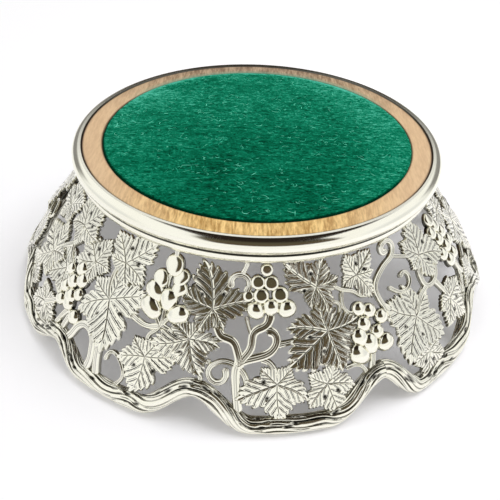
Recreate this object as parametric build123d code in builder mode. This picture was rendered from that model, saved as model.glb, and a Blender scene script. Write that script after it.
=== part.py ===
from build123d import *
import os
from math import cos, hypot, pi, radians, sin

# Wine bottle coaster, stored upside down: the scalloped vine rim stands on the table at z = 0
# and the wooden base with its baize is on top. Millimetres, +Z up, origin under the centre.

# Base: a turned wooden disc with baize let into its underside
wood_radius = 60.0
wood_thickness = 6.0
floor_plug_depth = 2.6
floor_ring_radius = 48.0
floor_ring_width = 1.6
floor_ring_depth = 0.6
baize_radius = 53.0
baize_thickness = 1.1
baize_recess_depth = 0.6
baize_clearance = 0.2

# Collar: the stepped moulding that holds the base above the pierced side
collar_fit = 0.1
collar_lip_width = 1.1
collar_lip_rise = 0.4
bead_height = 5.6
bead_reach = 3.5
bead_groove_depth = 1.8
small_bead_reach = 0.7
collar_step = 0.8
skirt_height = 1.4
collar_wall = 1.0
flange_thickness = 1.2
flange_width = 4.0

# Soldering band that each panel of the side has inside the collar
band_thickness = 1.5
band_drop = 0.4
solder_gap = 0.05

# Pierced side: a bell-shaped wall from the collar out to the rim
gallery_height = 43.8
gallery_foot_radius = 85.9
gallery_top_flare = 2.6
gallery_top_drop = 11.1
gallery_foot_flare = 9.5
gallery_foot_rise = 25.6

# Cast work of the side
leaf_thickness = 1.5
stem_thickness = 2.0
grape_height = 1.8
tendril_width = 1.4
stem_width = 1.8
branch_width = 2.4

# Rim: a barked vine branch that falls and rises in lobes
rim_radius = 2.7
rim_bark_depth = 0.5
rim_bark_ridges = 4
rim_foot_flat = 0.2
rim_steps = 7

# Places that follow from the sizes above
gallery_top_radius = wood_radius
collar_bottom = gallery_height + collar_step
flange_bottom = collar_bottom + skirt_height
wood_bottom = flange_bottom + flange_thickness
wood_top = wood_bottom + wood_thickness
bead_top = wood_top + collar_lip_rise
bead_bottom = bead_top - bead_height
groove_radius = wood_radius + bead_reach - bead_groove_depth
plug_radius = wood_radius - flange_width
band_radius = gallery_top_radius - solder_gap
band_bottom = gallery_height - band_drop
band_top = flange_bottom - solder_gap

# The vine is drawn for a side of this height and these radii, and is stretched to the real one
drawn_height = 43.8
drawn_top_radius = 60.0
drawn_foot_radius = 85.9
drawn_slant = hypot(drawn_foot_radius - drawn_top_radius, drawn_height)
rise_ratio = gallery_height / drawn_height
slant_ratio = hypot(gallery_foot_radius - gallery_top_radius, gallery_height) / drawn_slant

# Azimuths are in degrees, 0 at the front (-Y) and growing to the right. The second half turn repeats
# the first. Rim lobes: azimuth of the middle, half width of the stretch that rests on the table.
# Rim hollows, each to the right of its lobe: azimuth, and rise of the branch above the lobes.
half_turn = 180
rim_lobes = ((-60, 3), (-30, 7.5), (9, 7.5), (47.5, 8), (88, 4))
rim_hollows = ((-47.5, 5.4), (-11, 8.9), (30.5, 9.6), (71, 8), (104, 8))

# The cast panels of one half turn, one to a lobe. Leaves: azimuth, height, length and pointing angle.
# Grapes: azimuth and height. Stems: width, then azimuth and height of each bend.
panels = (
    dict(
        leaves=(
            (-46, 31, 10.5, 130), (-58, 35.5, 11.8, 60), (-64, 23, 12, 160), (-57, 11, 10, -95),
            (-70, 13, 9, -70),
        ),
        grape_radius=2.4,
        grapes=(
            (-53, 26), (-49, 27), (-46.4, 24.6), (-50.2, 23.2), (-52.6, 20.4), (-48.6, 19.6), (-47.6, 16.4),
            (-51.4, 16.8),
        ),
        stems=(
            (tendril_width, (-46, 31), (-47.2, 26)),
            (tendril_width, (-53, 26), (-57.6, 30), (-58, 35)),
            (stem_width, (-47.6, 16.4), (-45.6, 10), (-46, 6)),
            (stem_width, (-51.4, 16.8), (-57, 11)),
            (stem_width, (-57.6, 30), (-63, 23), (-69.4, 13)),
            (tendril_width, (-49, 27), (-50.2, 23.2), (-48.6, 19.6)),
            (tendril_width, (-48.6, 19.6), (-52.6, 20.4), (-51.4, 16.8)),
        ),
    ),
    dict(
        leaves=(
            (-36.5, 25.5, 15.5, -67), (-36, 35.4, 13, 46), (-22.7, 16.3, 12, -89), (-13.4, 23.5, 12, -150),
        ),
        grape_radius=2.7,
        grapes=(
            (-21.3, 39.4), (-18.4, 37), (-18.4, 33), (-24.2, 36), (-25.4, 32.2), (-21.6, 32.4), (-25, 28.4),
            (-17.4, 28.8),
        ),
        stems=(
            (branch_width, (-21.6, 32.4), (-20.8, 25.5), (-23.2, 18.6)),
            (tendril_width, (-38, 27), (-38, 33.6)),
            (stem_width, (-22, 22.4), (-28, 24.6)),
            (stem_width, (-20.9, 25), (-14.4, 23.5)),
            (tendril_width, (-21, 27.4), (-17.4, 28.8)),
            (stem_width, (-46.5, 8.6), (-44.4, 13), (-41.4, 15.4), (-38.4, 14.2), (-37, 10.5), (-37, 4)),
            (stem_width, (-38.4, 14.2), (-35.4, 17)),
            (tendril_width, (-21.6, 32.4), (-24.2, 36), (-21.3, 39.4), (-21, 44)),
            (tendril_width, (-21.6, 32.4), (-25, 28.4)),
        ),
    ),
    dict(
        leaves=(
            (-9, 31.2, 13.4, 97), (17.5, 35.2, 11.6, 142), (18.7, 25.8, 13.5, -155), (6.4, 14.3, 11.6, -91),
            (17.2, 13, 9.7, -72),
        ),
        grape_radius=2.3,
        grapes=(
            (4.2, 40), (2, 37.2), (5.8, 37), (7.4, 34), (3.4, 34.2), (-0.2, 34.8), (1.6, 31.4), (5.3, 31.4),
            (9.2, 31.6),
        ),
        stems=(
            (branch_width, (-1.6, 20.2), (-3, 24.1), (-6.4, 25.6), (-8.6, 30)),
            (stem_width, (-6.2, 25.4), (-10.5, 24)),
            (branch_width, (-1.6, 20.2), (0.9, 24.1), (1.4, 27), (4.2, 28.4), (5.2, 31.4)),
            (branch_width, (-1.6, 20.2), (4.5, 21.8), (6.6, 25.3), (4, 27.3)),
            (stem_width, (6.2, 24), (13.2, 25)),
            (stem_width, (3.4, 21), (5.8, 18.4), (6.4, 15)),
            (tendril_width, (-4, 36), (-5, 38.6), (-3, 40.4), (-0.8, 39), (-0.2, 34.8)),
            (tendril_width, (-2.8, 40), (-1.4, 43.4)),
            (branch_width, (-2.2, 20.4), (-2.2, 13), (-1.6, 6)),
            (stem_width, (-2.4, 18.6), (-6.4, 19.2), (-8.5, 16.2), (-6.4, 13.8), (-4.4, 16.4)),
        ),
    ),
    dict(
        leaves=(
            (29.4, 36.2, 9.6, 40), (43.6, 21, 14.3, -134), (53.4, 33, 11.5, 69), (45.5, 10.5, 8.4, -90),
            (58, 17.6, 10, -60),
        ),
        grape_radius=2.5,
        grapes=(
            (27.8, 29), (31, 28.4), (33.4, 25.4), (29.4, 25.2), (26, 22.8), (30.4, 21.6), (33.4, 19.4),
            (27.6, 18.8),
        ),
        stems=(
            (stem_width, (30.4, 21.6), (28.4, 15.5), (27.4, 11)),
            (tendril_width, (27.8, 29), (29.2, 35.4)),
            (stem_width, (36.6, 22.4), (34.2, 30.6), (39.2, 37)),
            (stem_width, (39.2, 37), (42.8, 38.4), (42.4, 41.4), (39.8, 43.2)),
            (tendril_width, (42.4, 38), (50.6, 34.4)),
            (stem_width, (52, 32), (50.8, 27), (54.4, 25), (57.8, 28.8), (55, 33)),
            (stem_width, (51, 26), (44, 22)),
            (stem_width, (54.6, 25), (57.6, 18.8)),
            (stem_width, (44.6, 18), (45.5, 11)),
            (stem_width, (46, 11), (57, 15.4)),
            (tendril_width, (29.4, 25.2), (30.4, 21.6), (33.4, 19.4)),
            (tendril_width, (30.4, 21.6), (26, 22.8)),
        ),
    ),
    dict(
        leaves=(
            (66, 13, 9.4, -80), (84, 26, 14, -100), (90, 35.4, 11, 60), (76, 35.4, 10, 120),
            (95, 16, 12, -50),
        ),
        grape_radius=2.4,
        grapes=(
            (66, 38.4), (64.4, 34.8), (68.4, 35.2), (70.6, 31.6), (66.6, 31.2), (68.6, 27.6), (64.6, 27.4),
            (68.4, 23.8),
        ),
        stems=(
            (branch_width, (68.4, 23.8), (69.4, 19), (77, 12), (80, 4)),
            (stem_width, (69.2, 20), (66.2, 14)),
            (stem_width, (72.4, 16), (83, 25)),
            (tendril_width, (76.4, 35), (83.6, 27)),
            (tendril_width, (84.4, 27), (89.6, 34.6)),
            (stem_width, (85, 26), (91, 23), (95, 17)),
            (tendril_width, (91, 23), (96.6, 27), (100.4, 24), (97, 21)),
            (tendril_width, (70.6, 31.6), (75.6, 35)),
            (stem_width, (78, 11.4), (94, 15)),
            (tendril_width, (66, 38.4), (66.6, 31.2), (68.6, 27.6), (68.4, 23.8)),
            (tendril_width, (66.6, 31.2), (64.6, 27.4)),
        ),
    ),
)

# Vine leaf: five pointed lobes. Each lobe has its angle from the midrib and its share of the length.
leaf_lobes = ((-130, 0.66), (-68, 0.88), (0, 1.0), (68, 0.88), (130, 0.66))
lobe_shoulder_angle = 16
lobe_shoulder_share = 0.8
leaf_bay_share = 0.48
leaf_stalk_share = 0.2

# Grape: a six-sided berry that narrows to the front by this angle
grape_sides = 6
grape_taper = 18

os.makedirs("parts", exist_ok=True)


def wall_line(share):
    """Radius and height on the bell curve of the side, share 0 at the foot and 1 at the collar."""
    foot = Vector(gallery_foot_radius, 0)
    low = Vector(gallery_foot_radius - gallery_foot_flare, gallery_foot_rise)
    high = Vector(gallery_top_radius + gallery_top_flare, gallery_height - gallery_top_drop)
    top = Vector(gallery_top_radius, gallery_height)
    rest = 1 - share
    return foot * rest**3 + low * (3 * rest**2 * share) + high * (3 * rest * share**2) + top * share**3


def wall_radius(height):
    """Radius of the side at a height, found by halving."""
    low, high = 0.0, 1.0
    for _ in range(30):
        middle = (low + high) / 2
        if wall_line(middle).Y < height:
            low = middle
        else:
            high = middle
    return wall_line(low).X


def outward(azimuth):
    """Level direction away from the centre."""
    return Vector(sin(radians(azimuth)), -cos(radians(azimuth)), 0)


def wall_point(azimuth, height):
    """Point of the side."""
    return outward(azimuth) * wall_radius(height) + Vector(0, 0, height)


def wall_plane(azimuth, height):
    """Plane that touches the side: x runs to the right round the wall, y climbs it, z looks out."""
    reach = 0.5
    slope = (wall_radius(height + reach) - wall_radius(height - reach)) / (2 * reach)
    rightward = outward(azimuth + 90)
    return Plane(wall_point(azimuth, height), x_dir=rightward, z_dir=outward(azimuth) - Vector(0, 0, slope))


def girth_ratio(height):
    """How much wider the real side is than the drawn one at a drawn height."""
    share = height / drawn_height
    real = gallery_foot_radius * (1 - share) + gallery_top_radius * share
    drawn = drawn_foot_radius * (1 - share) + drawn_top_radius * share
    return real / drawn


def leaf(azimuth, height, length, pointing):
    """A flat vine leaf whose veins meet at the given place and whose midrib points the given way."""
    polar = []
    for place, (angle, share) in enumerate(leaf_lobes):
        if place:
            last_angle, last_share = leaf_lobes[place - 1]
            polar.append(((last_angle + angle) / 2, leaf_bay_share * (last_share + share) / 2))
        polar.append((angle - lobe_shoulder_angle, share * lobe_shoulder_share))
        polar.append((angle, share))
        polar.append((angle + lobe_shoulder_angle, share * lobe_shoulder_share))
    polar.append((180, leaf_stalk_share))
    corners = [Vector(length * share, 0).rotate(Axis.Z, pointing + angle) for angle, share in polar]
    stretched = [Vector(corner.X * girth_ratio(height), corner.Y * slant_ratio) for corner in corners]
    with BuildSketch(wall_plane(azimuth, height * rise_ratio)) as outline:
        with BuildLine():
            Polyline(*stretched, close=True)
        make_face()
    return extrude(outline.sketch, amount=leaf_thickness / 2, both=True, mode=Mode.PRIVATE)


def stem(width, *bends):
    """A flat-sided vine stem through the given places, mitred at each bend."""
    middle_azimuth, middle_height = bends[len(bends) // 2]
    plane = wall_plane(middle_azimuth, middle_height * rise_ratio)
    path = [plane.to_local_coords(wall_point(azimuth, height * rise_ratio)) for azimuth, height in bends]
    left, right = [], []
    for place, point in enumerate(path):
        ahead = path[min(place + 1, len(path) - 1)]
        behind = path[max(place - 1, 0)]
        run = hypot(ahead.X - behind.X, ahead.Y - behind.Y)
        side = Vector(behind.Y - ahead.Y, ahead.X - behind.X) * (width / 2 / run)
        left.append(Vector(point.X, point.Y) + side)
        right.append(Vector(point.X, point.Y) - side)
    with BuildSketch(plane) as outline:
        for first in range(len(path) - 1):
            with BuildLine():
                Polyline(*left[first:first + 2], *reversed(right[first:first + 2]), close=True)
            make_face()
    return extrude(outline.sketch, amount=stem_thickness / 2, both=True, mode=Mode.PRIVATE)


def grape(azimuth, height, radius):
    """A berry whose back is let into the side."""
    with BuildSketch(wall_plane(azimuth, height * rise_ratio).offset(-leaf_thickness / 2)) as back:
        RegularPolygon(radius * max(slant_ratio, girth_ratio(height)), grape_sides)
    return extrude(back.sketch, amount=leaf_thickness + grape_height, taper=grape_taper, mode=Mode.PRIVATE)


def rim_lobe_edges(number):
    """Azimuths where a lobe leaves the table on its left and right, for any lobe round the rim."""
    half_turns, place = divmod(number, len(rim_lobes))
    middle, flat = rim_lobes[place]
    return middle - flat + half_turns * half_turn, middle + flat + half_turns * half_turn


def rim_hollow(number):
    """Azimuth and rise of the hollow to the right of a lobe."""
    half_turns, place = divmod(number, len(rim_hollows))
    azimuth, rise = rim_hollows[place]
    return azimuth + half_turns * half_turn, rise


def rim_height(number, azimuth):
    """Height of the middle of the rim branch: low along the lobe, a half wave up to each hollow."""
    left, right = rim_lobe_edges(number)
    if azimuth > right:
        hollow, rise = rim_hollow(number)
        climb = (azimuth - right) / (hollow - right)
    else:
        hollow, rise = rim_hollow(number - 1)
        climb = max(0, left - azimuth) / (left - hollow)
    return rim_radius - rim_foot_flat + rise * (1 - cos(pi * climb)) / 2


def rim_section(number, azimuth):
    """Plane across the rim branch, x looking out of the side."""
    reach = 0.1
    behind = wall_point(azimuth - reach, rim_height(number, azimuth - reach))
    ahead = wall_point(azimuth + reach, rim_height(number, azimuth + reach))
    here = wall_plane(azimuth, rim_height(number, azimuth))
    return Plane(here.origin, x_dir=here.z_dir, z_dir=ahead - behind)


# Wooden base: a disc in the collar, a plug through its flange and a recess for the baize
with BuildPart() as wood_base:
    with BuildSketch(Plane.XZ):
        with BuildLine():
            Polyline(
                (0, wood_bottom - floor_plug_depth),
                (plug_radius - collar_fit, wood_bottom - floor_plug_depth),
                (plug_radius - collar_fit, wood_bottom),
                (wood_radius - collar_fit, wood_bottom),
                (wood_radius - collar_fit, wood_top),
                (baize_radius + baize_clearance, wood_top),
                (baize_radius + baize_clearance, wood_top - baize_recess_depth),
                (0, wood_top - baize_recess_depth),
                close=True,
            )
        make_face()
        with Locations((floor_ring_radius, wood_bottom - floor_plug_depth)):
            Rectangle(floor_ring_width, 2 * floor_ring_depth, mode=Mode.SUBTRACT)
    revolve(axis=Axis.Z)
wood_base.part.label = "wood_base"
export_step(wood_base.part, "parts/wood_base.step")

# Baize disc, glued into the recess
with BuildPart() as baize_disc:
    with BuildSketch(Plane.XY.offset(wood_top - baize_recess_depth)):
        Circle(baize_radius)
    extrude(amount=baize_thickness)
baize_disc.part.label = "baize_disc"
export_step(baize_disc.part, "parts/baize_disc.step")

# Collar: lip round the wood, large bead, groove, small bead, and a flange under the wood
with BuildPart() as base_collar:
    with BuildSketch(Plane.XZ):
        with BuildLine():
            Polyline(
                (gallery_top_radius + collar_wall, collar_bottom),
                (gallery_top_radius, collar_bottom),
                (gallery_top_radius, flange_bottom),
                (plug_radius, flange_bottom),
                (plug_radius, wood_bottom),
                (wood_radius, wood_bottom),
                (wood_radius, bead_top),
                (wood_radius + collar_lip_width, bead_top),
            )
            ThreePointArc(
                (wood_radius + collar_lip_width, bead_top),
                (wood_radius + bead_reach, (bead_top + bead_bottom) / 2),
                (groove_radius, bead_bottom),
            )
            ThreePointArc(
                (groove_radius, bead_bottom),
                (groove_radius + small_bead_reach / 2, (bead_bottom + collar_bottom) / 2),
                (gallery_top_radius + collar_wall, collar_bottom),
            )
        make_face()
    revolve(axis=Axis.Z)
base_collar.part.label = "base_collar"
export_step(base_collar.part, "parts/base_collar.step")

# Rim: one length of barked branch for each lobe, butted at the hollows
bark = [
    Vector(rim_radius - rim_bark_depth * (corner % 2), 0).rotate(Axis.Z, corner * half_turn / rim_bark_ridges)
    for corner in range(2 * rim_bark_ridges)
]
rims = []
for number in range(len(rim_lobes)):
    start, end = rim_hollow(number - 1)[0], rim_hollow(number)[0]
    with BuildPart() as vine_rim:
        for step in range(rim_steps + 1):
            with BuildSketch(rim_section(number, start + (end - start) * step / rim_steps)):
                with BuildLine():
                    Polyline(*bark, close=True)
                make_face()
        loft(ruled=True)
        split(bisect_by=Plane.XY, keep=Keep.TOP)
    rims.append(vine_rim.part)
rims += [rim.rotate(Axis.Z, half_turn) for rim in rims]
for number, rim in enumerate(rims, start=1):
    rim.label = f"vine_rim_{number}"
    export_step(rim, f"parts/vine_rim_{number}.step")

# Room round the soldering bands that the collar takes up
with BuildPart() as collar_room:
    with BuildSketch(Plane.XY.offset(collar_bottom - solder_gap)):
        Circle(gallery_foot_radius)
        Circle(band_radius, mode=Mode.SUBTRACT)
    extrude(amount=wood_top)

# Raw castings of the side: a band to solder under the collar, and the leaves, stems and grapes below it
castings = []
for number, panel in enumerate(panels):
    start, end = rim_hollow(number - 1)[0], rim_hollow(number)[0]
    cast_work = [leaf(*row) for row in panel["leaves"]]
    cast_work += [stem(*row) for row in panel["stems"]]
    cast_work += [grape(*row, panel["grape_radius"]) for row in panel["grapes"]]
    with BuildPart() as casting:
        with BuildSketch(Plane((0, 0, 0), x_dir=outward(start), z_dir=outward(start - 90))):
            with Locations((band_radius, band_bottom)):
                Rectangle(band_thickness, band_top - band_bottom, align=(Align.MAX, Align.MIN))
        revolve(axis=Axis.Z, revolution_arc=end - start)
        add(cast_work)
    castings.append(casting.part)

# Panels: each casting is dressed to its left neighbour, the rim and the collar, and its crumbs fall off
for number, casting in enumerate(castings):
    left_neighbour = castings[number - 1] if number else castings[-1].rotate(Axis.Z, half_turn)
    with BuildPart() as dressed:
        add(casting)
        add([left_neighbour, rims[number - 1], rims[number], rims[number + 1]], mode=Mode.SUBTRACT)
        add(collar_room.part, mode=Mode.SUBTRACT)
    gallery_panel = dressed.part.solids().sort_by(SortBy.VOLUME)[-1]
    for node, turn in ((number + 1, 0), (number + 1 + len(panels), half_turn)):
        turned_panel = gallery_panel.rotate(Axis.Z, turn)
        turned_panel.label = f"gallery_panel_{node}"
        export_step(turned_panel, f"parts/gallery_panel_{node}.step")
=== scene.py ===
import bpy
import numpy as np
from mathutils import Matrix


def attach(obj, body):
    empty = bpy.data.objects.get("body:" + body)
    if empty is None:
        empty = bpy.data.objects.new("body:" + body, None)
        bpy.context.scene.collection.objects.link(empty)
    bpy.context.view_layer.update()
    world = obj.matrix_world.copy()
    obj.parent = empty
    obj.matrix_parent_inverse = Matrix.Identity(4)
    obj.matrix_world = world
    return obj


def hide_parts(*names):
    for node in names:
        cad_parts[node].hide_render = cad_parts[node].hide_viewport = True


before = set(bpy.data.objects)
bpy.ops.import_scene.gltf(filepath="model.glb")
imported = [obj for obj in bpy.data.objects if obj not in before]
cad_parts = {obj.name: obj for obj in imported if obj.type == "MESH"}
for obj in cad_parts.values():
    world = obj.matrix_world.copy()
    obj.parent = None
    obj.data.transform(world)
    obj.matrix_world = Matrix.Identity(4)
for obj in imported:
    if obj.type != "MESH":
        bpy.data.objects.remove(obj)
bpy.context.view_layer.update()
scene = bpy.context.scene
scene.view_settings.view_transform = "Standard"

# Studio: a white table in a light tent, with the dark opening that the coaster is photographed through.
# The table keeps the soft shadow, and the lamp overhead is one large diffuser.


class Shade:
    """A socket of a node tree. Arithmetic on sockets adds Math nodes, and node() adds any other node."""

    def __init__(self, tree, socket=None):
        self.tree = tree
        self.socket = socket

    def node(self, kind, settings=None, inputs=None, output=0):
        """A node of that type: its settings are set first, then its sockets are given values or links."""
        made = self.tree.nodes.new(kind)
        for name, value in (settings or {}).items():
            if name == "stops":
                made.color_ramp.elements[0].position = value[0][0]
                made.color_ramp.elements[1].position = value[-1][0]
                for place, _ in value[1:-1]:
                    made.color_ramp.elements.new(place)
                for stop, (_, colour) in zip(made.color_ramp.elements, value):
                    stop.color = (*colour, 1)
            else:
                setattr(made, name, value)
        for name, value in (inputs or {}).items():
            if isinstance(value, Shade):
                self.tree.links.new(value.socket, made.inputs[name])
            else:
                made.inputs[name].default_value = value
        return Shade(self.tree, made.outputs[output]) if made.outputs else None

    def maths(self, operation, *values):
        """One Math node on numbers and sockets."""
        return self.node("ShaderNodeMath", {"operation": operation}, dict(enumerate(values)))

    def __add__(self, other):
        return self.maths("ADD", self, other)

    def __radd__(self, other):
        return self.maths("ADD", other, self)

    def __sub__(self, other):
        return self.maths("SUBTRACT", self, other)

    def __rsub__(self, other):
        return self.maths("SUBTRACT", other, self)

    def __mul__(self, other):
        return self.maths("MULTIPLY", self, other)

    def __rmul__(self, other):
        return self.maths("MULTIPLY", other, self)

    def __truediv__(self, other):
        return self.maths("DIVIDE", self, other)

    def __rtruediv__(self, other):
        return self.maths("DIVIDE", other, self)

    def __pow__(self, other):
        return self.maths("POWER", self, other)

    def size(self):
        """The value without its sign."""
        return self.maths("ABSOLUTE", self)

    def most(self, other):
        """The larger of two values."""
        return self.maths("MAXIMUM", self, other)

    def wave(self):
        """A cosine wave with a crest at each whole number."""
        return self.maths("COSINE", self * (2 * np.pi))

    def step(self, low, high):
        """0 below low and 1 above high, with a smooth rise between. With low above high, it falls instead."""
        falls = low > high
        ends = {"From Min": min(low, high), "From Max": max(low, high)}
        ends.update({"To Min": float(falls), "To Max": float(not falls)})
        return self.node("ShaderNodeMapRange", {"interpolation_type": "SMOOTHSTEP"}, {"Value": self, **ends})

    def blend(self, first, second):
        """The first colour where this is 0 and the second where it is 1."""
        return self.node("ShaderNodeMix", {"data_type": "RGBA"}, {0: self, 6: first, 7: second}, output=2)

    def axis(self, name):
        """One of X, Y and Z of a vector."""
        return self.node("ShaderNodeSeparateXYZ", None, {"Vector": self}, output=name)

    def from_axis(self):
        """How far a place lies from the upright axis."""
        x, y = self.axis("X"), self.axis("Y")
        return (x * x + y * y) ** 0.5

    def noise(self, scale, detail, **more):
        """Cloudy noise at a place."""
        inputs = {"Vector": self, "Scale": scale, "Detail": detail, **more}
        return self.node("ShaderNodeTexNoise", None, inputs)

    def stretched(self, scale):
        """A place multiplied along each axis, so that noise there is drawn out along the smaller ones."""
        return self.node("ShaderNodeMapping", None, {"Vector": self, "Scale": scale})

    def bump(self, strength, distance):
        """A surface normal bumped by this height."""
        return self.node("ShaderNodeBump", None, {"Strength": strength, "Distance": distance, "Height": self})


def new_finish(name):
    """A bare material, the Shade that adds nodes to it, and the place on the surface for its patterns."""
    material = bpy.data.materials.new(name)
    material.use_nodes = True
    material.node_tree.nodes.clear()
    nodes = Shade(material.node_tree)
    return material, nodes, nodes.node("ShaderNodeTexCoord", output="Object")


plain_white = (1, 1, 1, 1)
tent_white = (1.0, 1.0, 0.99, 1)
side_grey = (0.16, 0.19, 0.25, 1)
back_grey = (0.05, 0.042, 0.035, 1)
back_gap_brown = (0.030, 0.020, 0.012, 1)
opening_olive = (0.088, 0.076, 0.046, 1)
opening_brown = (0.092, 0.062, 0.036, 1)
opening_black = (0.02, 0.014, 0.010, 1)
opening_x, opening_y = 0.14, -0.13
opening_wide, opening_deep = 0.61, 0.87
overhead_shift, overhead_narrowing = 0.09, 0.23

world = bpy.data.worlds.new("light_tent")
world.use_nodes = True
scene.world = world
world.node_tree.nodes.clear()
tent = Shade(world.node_tree)
ray = tent.node("ShaderNodeTexCoord", output="Generated")
ahead, across, up = ray.axis("Y"), ray.axis("X"), ray.axis("Z")
aside = across.size()
overhead = ahead.step(-0.65, -0.15)
oval_x = (across - opening_x + overhead * overhead_shift) / (opening_wide - overhead * overhead_narrowing)
oval_y = (ahead - opening_y) / opening_deep
opening = (oval_x**4 + oval_y**4).step(1.25, 0.7) * up.step(0.29, 0.43)
far_sides = aside.step(0.84, 0.98)
far_back = ahead.step(0.35, 0.6) * up.step(0.50, 0.40)
back_gap = ahead.step(0.75, 0.86) * up.step(0.60, 0.48) * aside.step(0.27, 0.17)
walls = (far_sides * 0.22).blend(tent_white, side_grey)
walls = (far_back * 0.78).blend(walls, back_grey)
walls = (back_gap * 0.95).blend(walls, back_gap_brown)
low_or_high = up.step(0.35, 0.8).blend(opening_brown, opening_olive)
inside = overhead.blend(low_or_high, opening_black)
seen = tent.node("ShaderNodeLightPath", output="Is Camera Ray")
tent_colour = seen.blend(opening.blend(walls, inside), plain_white)
backing = tent.node("ShaderNodeBackground", None, {"Color": tent_colour, "Strength": 1.0})
tent.node("ShaderNodeOutputWorld", None, {"Surface": backing})

table_reach = 6
table_lilac = (0.86, 0.855, 0.885, 1)
table_glow = 0.21
shadow_reach, white_from = 0.17, 0.5
table_mesh = bpy.data.meshes.new("table")
table_corners = [(x * table_reach, y * table_reach, 0) for x, y in ((-1, -1), (1, -1), (1, 1), (-1, 1))]
table_mesh.from_pydata(table_corners, [], [(0, 1, 2, 3)])
table = bpy.data.objects.new("table", table_mesh)
scene.collection.objects.link(table)
table_paint, paint, table_place = new_finish("table_white")
matt = paint.node("ShaderNodeBsdfDiffuse", None, {"Color": table_lilac})
glow = paint.node("ShaderNodeEmission", None, {"Color": plain_white, "Strength": table_glow})
both = paint.node("ShaderNodeAddShader", None, {0: matt, 1: glow})
looked_at = paint.node("ShaderNodeLightPath", output="Is Camera Ray")
mirrored = paint.node("ShaderNodeLightPath", output="Is Glossy Ray")
shown = looked_at.most(mirrored)
near_surface = paint.node("ShaderNodeMixShader", None, {0: shown, 1: matt, 2: both})
white_glow = paint.node("ShaderNodeEmission", None, {"Color": plain_white, "Strength": 1.0})
far_off = table_place.from_axis().step(shadow_reach, white_from) * shown
surface = paint.node("ShaderNodeMixShader", None, {0: far_off, 1: near_surface, 2: white_glow})
paint.node("ShaderNodeOutputMaterial", None, {"Surface": surface})
table_mesh.materials.append(table_paint)

diffuser = bpy.data.lights.new("diffuser", "AREA")
diffuser.shape = "DISK"
diffuser.size = 0.7
diffuser.energy = 4.9
diffuser_lamp = bpy.data.objects.new("diffuser", diffuser)
diffuser_lamp.location = (0.30, 0.08, 0.86)
diffuser_lamp.rotation_euler = (0.09, 0.33, 0)
diffuser_lamp.visible_glossy = False
scene.collection.objects.link(diffuser_lamp)

camera_tilt = np.radians(37.45)
camera_yaw = np.radians(-0.25)
camera_roll = np.radians(2.41)
camera_place = (0, -0.2123, 0.1651)
sensor_width = 36
photo_pixels, focal_pixels = 500, 680
level_look = np.array([np.sin(camera_yaw), np.cos(camera_yaw), 0])
look = level_look * np.cos(camera_tilt) - np.array([0, 0, np.sin(camera_tilt)])
level = np.array([np.cos(camera_yaw), -np.sin(camera_yaw), 0])
upright = np.cross(level, look)
rolled = np.cos(camera_roll) * level + np.sin(camera_roll) * upright
crown = np.cos(camera_roll) * upright - np.sin(camera_roll) * level
camera_data = bpy.data.cameras.new("camera")
camera_data.sensor_width = sensor_width
camera_data.lens = sensor_width * focal_pixels / photo_pixels
camera_data.clip_start = 0.01
camera = bpy.data.objects.new("camera", camera_data)
camera_pose = Matrix(np.column_stack([rolled, crown, -look]).tolist()).to_4x4()
camera_pose.translation = camera_place
camera.matrix_world = camera_pose
scene.collection.objects.link(camera)
scene.camera = camera

# Wooden base: a disc of light close-grained hardwood, turned with a shallow recess for the baize and a plug
# below, and pressed into the collar. Its edge is eased by hand, and the wax has yellowed. Its colour is
# painted as light and shade: lighter and golden at the front, pinkish at the sides and darker umber at the
# back, with painted shade in the seams with the collar and the baize.

mm = 0.001
wood_radius = 60.0
wood_top = 53.2
wood_bottom = 47.2
plug_bottom = 44.6
plug_radius = 56.0
recess_radius = 53.2
recess_floor = 52.6
lathe_hole = 0.6
press_slack = 0.1
edge_easing = 0.35
fine_grain = (1400.0, 230.0, 230.0)
broad_grain = (300.0, 55.0, 55.0)
# Painted shade: the dark brown of the seams with the collar and round the baize recess.
seam_shade_brown = (0.07, 0.035, 0.015, 1)
fibre_green = (0.20, 0.36, 0.25, 1)


def shell(rings, ends=None, marks=None, end_marks=None):
    """A closed skin over rings of points, each ring joined to the next one round and along. With ends, a
    point closes the first ring and another the last. Without, the last ring joins the first. It is turned
    inside out if the volume that its triangles add up to comes out below zero."""
    count, round_count = rings.shape[:2]
    here = np.arange(count * round_count).reshape(count, round_count)
    beside = np.roll(here, -1, axis=1)
    points = rings.reshape(-1, 3)
    values = np.zeros((count * round_count, 3)) if marks is None else marks.reshape(-1, 3)
    if ends is None:
        quads = np.stack([here, beside, np.roll(beside, -1, axis=0), np.roll(here, -1, axis=0)], -1)
        tris = np.zeros((0, 3), int)
    else:
        quads = np.stack([here[:-1], beside[:-1], beside[1:], here[1:]], -1)
        first = np.stack([np.full(round_count, points.shape[0]), beside[0], here[0]], -1)
        last = np.stack([np.full(round_count, points.shape[0] + 1), here[-1], beside[-1]], -1)
        tris = np.concatenate([first, last])
        points = np.concatenate([points, np.asarray(ends, float)])
        end_values = np.zeros((2, 3)) if end_marks is None else np.asarray(end_marks, float)
        values = np.concatenate([values, end_values])
    quads = quads.reshape(-1, 4)
    corners = np.concatenate([quads[:, :3], quads[:, [0, 2, 3]], tris])
    middle = points.mean(0)
    a, b, c = (points[corners[:, i]] - middle for i in range(3))
    if np.einsum("ij,ij->", a, np.cross(b, c)) < 0:
        quads, tris = quads[:, ::-1], tris[:, ::-1]
    return points, quads, tris, values


def spun(profile, steps):
    """A closed profile of radius and height turned round the upright axis."""
    turn = np.linspace(0, 2 * np.pi, steps, endpoint=False)[:, None]
    radius, height = np.asarray(profile, float).T
    return shell(np.stack([radius * np.sin(turn), -radius * np.cos(turn), height + 0 * turn], -1))


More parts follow.
